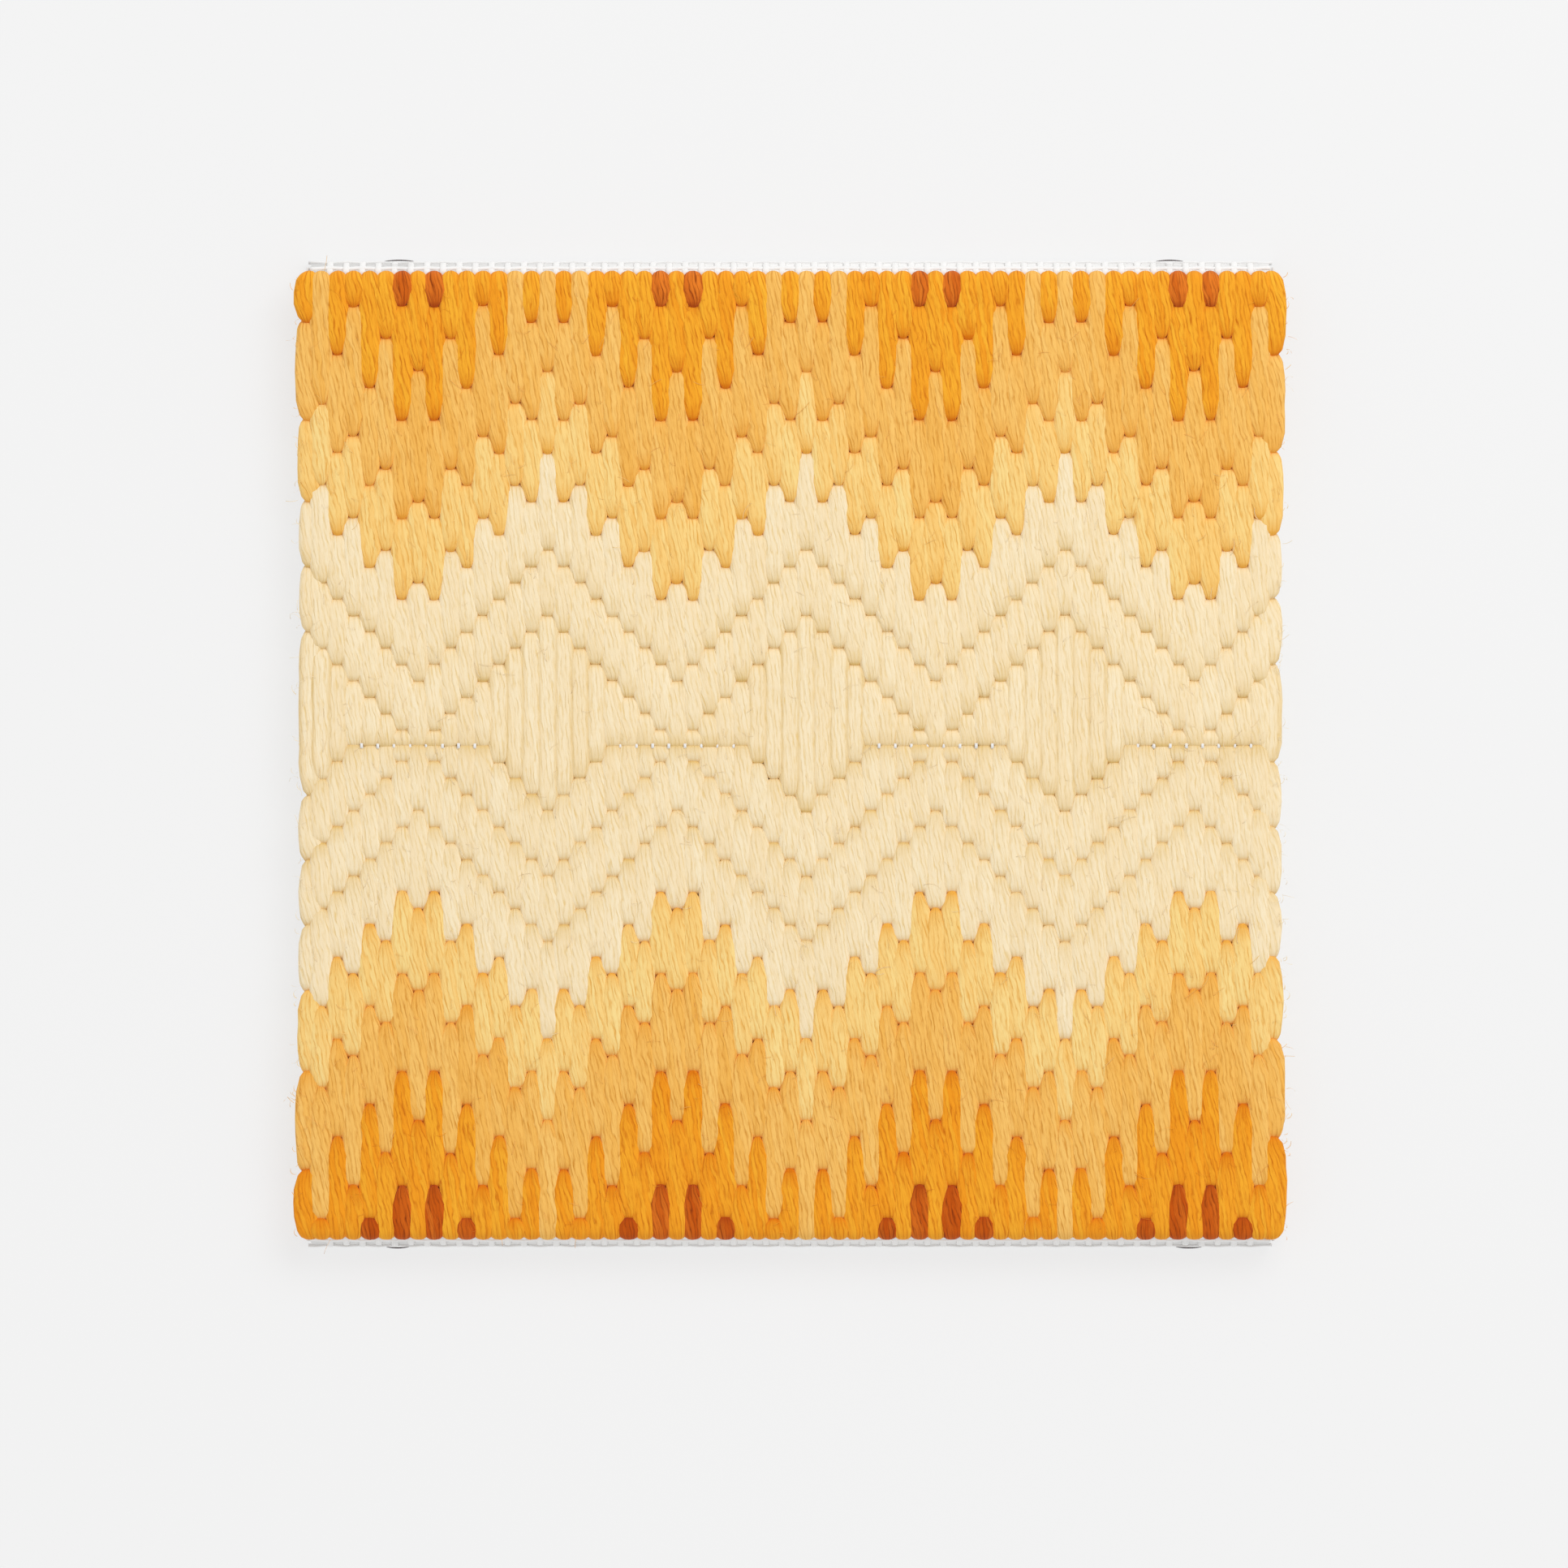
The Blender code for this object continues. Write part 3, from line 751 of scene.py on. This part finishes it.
def canvas_fold(half_size, slope):
    """The middle of the canvas's thickness from the middle of the panel out over one edge and
    back under it: distance along the cloth, distance out, height, and the angle turned."""
    face, hem = FACE_HEIGHT - CANVAS_THICK / 2, CANVAS_THICK / 2
    arcs = SHOULDER_RADIUS * (1 - math.cos(slope)) + CREASE_RADIUS * (1 + math.cos(slope))
    wall = (face - hem - arcs) / math.sin(slope)
    out, height, turn, along = [0.0], [face], [0.0], [0.0]
    bends = [(SHOULDER_RADIUS, 0.0, slope), (None, slope, slope), (CREASE_RADIUS, slope, math.pi)]
    for radius, begin, end in bends:
        base_out, base_height, base_along = out[-1], height[-1], along[-1]
        if radius is None:
            out.append(base_out + wall * math.cos(slope))
            height.append(base_height - wall * math.sin(slope))
            turn.append(slope)
            along.append(base_along + wall)
            continue
        for step in range(1, ARC_STEPS + 1):
            angle = begin + (end - begin) * step / ARC_STEPS
            out.append(base_out + radius * (math.sin(angle) - math.sin(begin)))
            height.append(base_height - radius * (math.cos(begin) - math.cos(angle)))
            turn.append(angle)
            along.append(base_along + radius * (angle - begin))
    out.append(out[-1] - HEM_WIDTH)
    height.append(hem)
    turn.append(math.pi)
    along.append(along[-1] + HEM_WIDTH)
    out, height, turn, along = (np.array(values) for values in (out, height, turn, along))
    widest = np.max(out + CANVAS_THICK / 2 * np.sin(turn))
    flat = half_size - widest
    return {"along": np.concatenate([[0], along + flat]), "out": np.concatenate([[0], out + flat]),
            "height": np.concatenate([[face], height]), "turn": np.concatenate([[0], turn]),
            "flat": flat, "cut": along[-1] + flat}


# Where stitches meet on the middle line, the canvas threads stand up white between them: how
# high, how much that differs from thread to thread, how far from the line their flat top and
# their foot reach, and how much of their width they lose.
PEEK_HEIGHT, PEEK_UNEVEN = 1.77 * MM, 0.20 * MM
PEEK_TOP = (0.22 * MM, 0.90 * MM)
PEEK_NARROWING = 0.6
# How far a thread rises and falls over those that cross it, and its outline's sides and girth.
WEAVE_RISE = 0.07 * MM
THREAD_SIDES = 6
THREAD_GIRTH = 2.1 * MM


def inner_layer(cloth, fold, half_length, along_y):
    """The hem's canvas, pressed close under the fold: it is white behind the open weave."""
    on_fold = fold["out"] > fold["flat"] - 2.2 * MM
    outer, height, turn = (fold[key][on_fold] for key in ("out", "height", "turn"))
    near, far = 0.02 * MM, 0.26 * MM
    section_out = np.concatenate([outer - near * np.sin(turn), (outer - far * np.sin(turn))[::-1]])
    section_height = np.concatenate([height - near * np.cos(turn), (height - far * np.cos(turn))[::-1]])
    for end in (1, -1):
        rings = np.stack([np.stack([np.full_like(section_out, along), end * section_out, section_height], -1)
                          for along in (-half_length, half_length)])
        if not along_y:
            rings = rings[..., [1, 0, 2]]
        around = np.linspace(0, 9 * MM, len(section_out) + 1)
        cloth.add_tube(rings, around, np.array([-half_length, half_length]))


def place_on_fold(fold, along):
    """Distance out, height and angle turned at these distances along the cloth."""
    out, height, turn = (np.interp(np.abs(along), fold["along"], fold[key])
                         for key in ("out", "height", "turn"))
    return out * np.sign(along), height, turn * np.sign(along)


def thread_spots(fold, reach, cross_pitch, cross_start):
    """Where a canvas thread needs rings: at its crossings, and more closely where it folds."""
    count = int(reach / cross_pitch) + 1
    spots = {-reach, reach}
    for number in range(-count, count + 1):
        place = (number + cross_start) * cross_pitch
        for part in (0.0, 0.25, 0.5, 0.75):
            spot = place + part * cross_pitch
            on_fold = fold["flat"] - cross_pitch < abs(spot) < fold["cut"] - HEM_WIDTH + cross_pitch
            if abs(spot) <= reach and (on_fold or not part):
                spots.add(spot)
    return spots


def canvas_thread(cloth, fold, line, cross, index, cross_pitch, cross_start, along_y, reach):
    """One thread of the canvas from cut edge to cut edge, passing over and under those that
    cross it. line is where it lies, as a distance on the cloth from the panel's middle."""
    settings = bpy.context.scene.canvas_settings
    spots = thread_spots(fold, reach, cross_pitch, cross_start)
    peek = thread_y(0)
    beside = (index + COLUMNS // 2, index + COLUMNS // 2 + 1)
    peeks = along_y and abs(line) < cross["flat"] and max(map(valley_distance, beside)) <= CHEVRON_THREADS
    if peeks:
        spots |= {peek + side * half for side in (-1, 1) for half in PEEK_TOP}
    spots = np.array(sorted(spots))
    spots = spots[np.concatenate([[True], np.diff(spots) > 0.15 * MM])]
    out, height, turn = place_on_fold(fold, spots)
    line_out, line_height, line_turn = place_on_fold(cross, line)
    weave = WEAVE_RISE * np.cos(np.pi * (spots / cross_pitch - cross_start) + np.pi * index)
    weave = weave if along_y else -weave
    if peeks:
        rise = np.interp(np.abs(spots - peek), PEEK_TOP, (1, 0))
        weave = weave + (PEEK_HEIGHT + PEEK_UNEVEN * math.sin(5.3 * index)) * rise
    if abs(line) > cross["flat"]:
        # On the wall or hem of the other fold the thread runs level along it.
        tilt = np.full_like(spots, line_turn)
        centre_along = spots
        centre_across = np.full_like(spots, line_out) + weave * np.sin(tilt)
        level = line_height + weave * np.cos(tilt)
        normal = np.stack([np.zeros_like(spots), np.sin(tilt), np.cos(tilt)], 1)
        run = np.tile([1.0, 0.0, 0.0], (len(spots), 1))
    else:
        centre_along = out + weave * np.sin(turn)
        centre_across = np.full_like(spots, line_out)
        level = height + weave * np.cos(turn)
        normal = np.stack([np.sin(turn), np.zeros_like(spots), np.cos(turn)], 1)
        run = np.stack([np.cos(turn), np.zeros_like(spots), -np.sin(turn)], 1)
    side = np.cross(normal, run)
    angle = np.linspace(0, 2 * np.pi, THREAD_SIDES + 1)[:-1]
    half_width = np.full_like(spots, settings.thread_width / 2)
    if peeks:
        half_width = half_width * (1 - PEEK_NARROWING * rise)
    centre = np.stack([centre_along, centre_across, level], 1)
    rings = (centre[:, None, :]
             + side[:, None, :] * (half_width[:, None] * np.cos(angle)[None, :])[..., None]
             + normal[:, None, :] * (settings.thread_height / 2 * np.sin(angle))[None, :, None])
    if along_y:
        rings = rings[..., [1, 0, 2]]
    cloth.add_tube(rings, np.linspace(0, THREAD_GIRTH, THREAD_SIDES + 1), spots)


def thread_reach(fold, cross, line, half_size):
    """How far along the cloth from its middle a thread ends, if it lies this far out."""
    if line <= cross["flat"]:
        # Near a corner the hem is mitred, so the thread ends at the mitre.
        mitre = fold["cut"] - HEM_WIDTH + max(half_size - line - 0.5 * MM, 0.0)
        return min(fold["cut"] - 0.2 * MM, mitre)
    if line > cross["cut"] - HEM_WIDTH:
        return fold["flat"] + 0.5 * MM - (line - cross["cut"] + HEM_WIDTH)
    # On a wall the thread runs up to the wall that it meets at the corner.
    level = max(np.interp(line, cross["along"], cross["height"]), CANVAS_THICK / 2 + 0.02 * MM)
    return np.interp(-level, -fold["height"], fold["out"]) - 0.2 * MM


class MESH_OT_woven_canvas(bpy.types.Operator):
    """Weaves the ground canvas thread by thread, with its folded and mitred hems"""

    bl_idname = "mesh.woven_canvas"
    bl_label = "Weave Canvas"

    def execute(self, context):
        stitch = context.scene.stitch_settings
        side_fold = canvas_fold(HALF_WIDTH, SIDE_SLOPE)
        end_fold = canvas_fold(HALF_LENGTH, END_SLOPE)
        cloth = ClothMesh()
        # Threads up the panel lie between the columns of holes.
        for fold, cross, pitch, cross_pitch, own_start, cross_start, along_y in (
                (end_fold, side_fold, stitch.column_pitch, stitch.thread_pitch, 0.5, 0.0, True),
                (side_fold, end_fold, stitch.thread_pitch, stitch.column_pitch, 0.0, 0.5, False)):
            count = int(cross["cut"] / pitch)
            for number in range(-count - 1, count + 1):
                line = (number + own_start) * pitch
                if abs(line) <= cross["cut"] - 0.3 * MM:
                    reach = thread_reach(fold, cross, abs(line), HALF_WIDTH if along_y else HALF_LENGTH)
                    canvas_thread(cloth, fold, line, cross, number, cross_pitch, cross_start, along_y, reach)
        inner_layer(cloth, end_fold, HALF_WIDTH - 1.1 * MM, True)
        inner_layer(cloth, side_fold, HALF_LENGTH - 1.7 * MM, False)
        piece = cloth.to_object("woven_canvas")
        dress(piece, canvas_cotton(), "white_canvas", "canvas")
        return {"FINISHED"}


# The wool on the reverse: its height over the ground, how far it rises to the canvas at its
# ends, its half width, half height and girth, and how far it runs on behind the hem.
REVERSE_LEVEL, REVERSE_RISE = 2.25 * MM, 0.9 * MM
REVERSE_HALF_WIDTH, REVERSE_HALF_HEIGHT, REVERSE_GIRTH = 1.18 * MM, 0.80 * MM, 6.9 * MM
REVERSE_SIDES = 10
BEHIND_HEM = 5 * MM


def reverse_stitch(cloth, column, inner, outer, chance):
    """The wool from the end of a stitch in one column to the start of the next column's."""
    y_from, y_to = thread_y(outer), thread_y(inner)
    x_from, x_to = column_x(column), column_x(column + 1)
    length = abs(y_from - y_to)
    steps = max(3, round(length / (2.0 * MM)))
    share = np.linspace(0, 1, steps + 1)
    from_end = np.minimum(share, 1 - share) * length
    rise = REVERSE_RISE * np.exp(-from_end / (0.5 * MM))
    level = REVERSE_LEVEL + rise + slow_wander(chance, share * length, 0.06 * MM)
    y = y_from + (y_to - y_from) * share
    x = x_from + (x_to - x_from) * share + slow_wander(chance, share * length, 0.10 * MM)
    centre = np.stack([x, y, level], 1)
    # The seam of the map is on top, against the canvas.
    fraction = np.tile(np.arange(REVERSE_SIDES) / REVERSE_SIDES + 0.25, (steps + 1, 1))
    across, over = section_at(fraction, PLUMP)
    pinch = eased(from_end + 0.25 * MM, 1.2 * MM)
    width, thick = REVERSE_HALF_WIDTH * pinch[:, None], REVERSE_HALF_HEIGHT * pinch[:, None]
    rings = centre[:, None, :] + np.stack([across * width, np.zeros_like(across), over * thick], axis=-1)
    # The yarn gets painted shade towards its ends, where it rises into the canvas.
    cloth.add_tube(rings, np.linspace(0, REVERSE_GIRTH, REVERSE_SIDES + 1), y + chance.uniform(0, 1),
                   twist=math.tan(bpy.context.scene.stitch_settings.lean),
                   hole=np.exp(-from_end / (0.4 * MM))[:, None],
                   tone=np.full((1, 1), chance.uniform(-0.3, 0.3)))


class MESH_OT_reverse_wool(bpy.types.Operator):
    """Lays the wool that the stitches carry across the back of the canvas"""

    bl_idname = "mesh.reverse_wool"
    bl_label = "Lay Reverse Wool"

    def execute(self, context):
        chance = np.random.default_rng(REVERSE_SEED)
        cloths = {}
        limit_x, limit_y = (half - HEM_WIDTH + BEHIND_HEM for half in (HALF_WIDTH, HALF_LENGTH))
        for column in range(COLUMNS - 1):
            for wool, inner, outer in charted_stitches(column + 1):
                nearest_x = min(abs(column_x(column)), abs(column_x(column + 1)))
                nearest_y = min(abs(thread_y(outer)), abs(thread_y(inner)))
                if nearest_x <= limit_x and nearest_y <= limit_y:
                    cloth = cloths.setdefault(wool, ClothMesh(("hole", "tone")))
                    reverse_stitch(cloth, column, inner, outer, chance)
        for wool, cloth in cloths.items():
            piece = cloth.to_object(f"reverse_{wool}")
            material = bpy.data.materials[f"dyed tapestry wool, {wool}"]
            dress(piece, material, f"{wool}_wool", "wool_reverse")
        return {"FINISHED"}


# Half a tacking thread's thickness, how far inside its solid it lies, how far its ends bend in
# and drop, its twist from the middle to an end in radians, and its mesh's stations and sides.
TACK_RADIUS, TACK_INSET = 0.10 * MM, 0.25 * MM
TACK_BEND, TACK_DROP = 0.12 * MM, 0.30 * MM
TACK_TWIST = 9
TACK_STATIONS, TACK_SIDES = 15, 8


class MESH_OT_tacking(bpy.types.Operator):
    """Sews the four short tacking stitches into the folded ends"""

    bl_idname = "mesh.tacking"
    bl_label = "Sew Tacking"

    def execute(self, context):
        material = tacking_cotton()
        for name, (middle, length, end) in TACKS.items():
            low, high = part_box(name)
            height = (low[2] + high[2]) / 2
            out = max(abs(low[1]), abs(high[1])) - TACK_INSET
            share = np.linspace(-1, 1, TACK_STATIONS)
            thick = TACK_RADIUS * np.sqrt(np.clip(1 - share ** 2, 0.02, 1))[:, None]
            centre = np.stack([middle + share * length / 2,
                               end * (out - TACK_BEND * share ** 2),
                               height - TACK_DROP * share ** 4], 1)
            angle = np.arange(TACK_SIDES) / TACK_SIDES * 2 * np.pi + share[:, None] * TACK_TWIST
            rings = centre[:, None, :] + np.stack(
                [np.zeros_like(angle), thick * np.cos(angle), thick * np.sin(angle)], axis=-1)
            cloth = ClothMesh()
            cloth.add_tube(rings, np.linspace(0, 1 * MM, TACK_SIDES + 1), share * length)
            dress(cloth.to_object(f"{name}_thread"), material, "dark_thread", name)
        return {"FINISHED"}


SENSOR_WIDTH = 36
SURFACE_SIZE = 3.0
# Where the key light stands, and how large it is.
LIGHT_PLACE, LIGHT_SIZE = (0.42, 0.72, 0.80), (0.9, 0.6)
# What the camera looks straight down at: the picture's middle, at the height of the stitches.
AIM_X, AIM_Y, AIM_HEIGHT = -0.80 * MM, -3.9 * MM, FACE_HEIGHT + 1.1 * MM


class SCENE_OT_studio_stage(bpy.types.Operator):
    """Sets the pale surface, the soft light and the camera straight above the panel"""

    bl_idname = "scene.studio_stage"
    bl_label = "Set Stage"

    def execute(self, context):
        settings = context.scene.stage_settings
        bpy.ops.mesh.primitive_plane_add(size=SURFACE_SIZE)
        floor = context.object
        floor.name = "pale_surface"
        floor.data.materials.append(light_table())

        world = bpy.data.worlds.new("studio_fill")
        world.use_nodes = True
        world.node_tree.nodes["Background"].inputs["Strength"].default_value = settings.fill
        world.node_tree.nodes["Background"].inputs["Color"].default_value = (1, 1, 1, 1)
        context.scene.world = world

        bpy.ops.object.light_add(type="AREA", location=LIGHT_PLACE)
        key = context.object
        key.name = "window_light"
        key.data.shape = "RECTANGLE"
        key.data.size, key.data.size_y = LIGHT_SIZE
        key.data.energy = settings.key_power
        aim = -key.location
        key.rotation_euler = aim.to_track_quat("-Z", "Y").to_euler()

        distance = settings.frame_width * settings.lens / SENSOR_WIDTH
        bpy.ops.object.camera_add(location=(AIM_X, AIM_Y, AIM_HEIGHT + distance), rotation=(0, 0, 0))
        camera = context.object
        camera.name = "camera"
        camera.data.lens = settings.lens
        camera.data.sensor_width = SENSOR_WIDTH
        camera.data.clip_start = 0.01
        context.scene.camera = camera
        context.scene.view_settings.view_transform = "Standard"
        return {"FINISHED"}


class VIEW3D_PT_needlepoint(bpy.types.Panel):
    """Lists the settings and the steps that build the panel"""

    bl_label = "Flame Stitch Panel"
    bl_idname = "VIEW3D_PT_needlepoint"
    bl_space_type = "VIEW_3D"
    bl_region_type = "UI"
    bl_category = "Needlepoint"

    def draw(self, context):
        layout = self.layout
        for name, group in SETTINGS.items():
            box = layout.box()
            for setting in group.__annotations__:
                box.prop(getattr(context.scene, name), setting)
        for operator in STEPS:
            layout.operator(operator.bl_idname)


SETTINGS = {
    "stitch_settings": StitchSettings,
    "canvas_settings": CanvasSettings,
    "stage_settings": StageSettings,
}
STEPS = (
    MESH_OT_face_wool,
    MESH_OT_woven_canvas,
    MESH_OT_reverse_wool,
    MESH_OT_tacking,
    SCENE_OT_studio_stage,
)


def register():
    for name, group in SETTINGS.items():
        bpy.utils.register_class(group)
        setattr(bpy.types.Scene, name, bpy.props.PointerProperty(type=group))
    for step in (*STEPS, VIEW3D_PT_needlepoint):
        bpy.utils.register_class(step)


def unregister():
    for step in reversed((*STEPS, VIEW3D_PT_needlepoint)):
        bpy.utils.unregister_class(step)
    for name, group in reversed(SETTINGS.items()):
        delattr(bpy.types.Scene, name)
        bpy.utils.unregister_class(group)


def main():
    register()
    bpy.ops.mesh.face_wool()
    bpy.ops.mesh.woven_canvas()
    bpy.ops.mesh.reverse_wool()
    bpy.ops.mesh.tacking()
    bpy.ops.scene.studio_stage()


if __name__ == "__main__":
    main()
